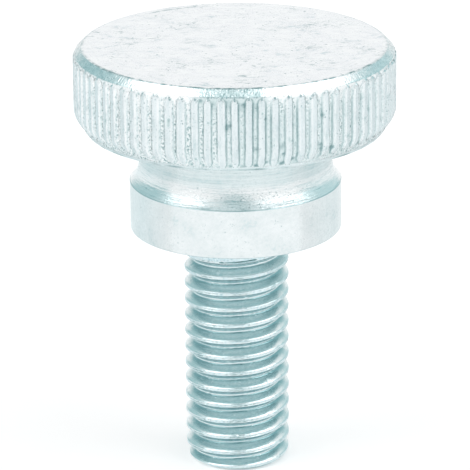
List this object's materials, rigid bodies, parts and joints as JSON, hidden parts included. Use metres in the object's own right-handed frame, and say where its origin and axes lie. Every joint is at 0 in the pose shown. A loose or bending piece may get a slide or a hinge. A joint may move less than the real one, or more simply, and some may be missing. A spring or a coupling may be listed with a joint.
{
  "type": "knurled thumb screw",
  "caption": "Thumb screw turned from one bar: a straight-knurled round head, a flared neck, a plain collar and a right-hand threaded shank with a flat end.",
  "frame": {"origin": "centre of the flat end face of the thread, where the screw stands", "axes": "+Z along the screw's axis, from the end of the thread towards the head"},
  "size_m": [0.015, 0.015, 0.0204],
  "materials": {
    "zinc_steel": "bright zinc plating, slightly blue, satin with fine turning marks"
  },
  "bodies": {
    "root": {"thumb_screw": "zinc_steel"}
  },
  "joints": []
}
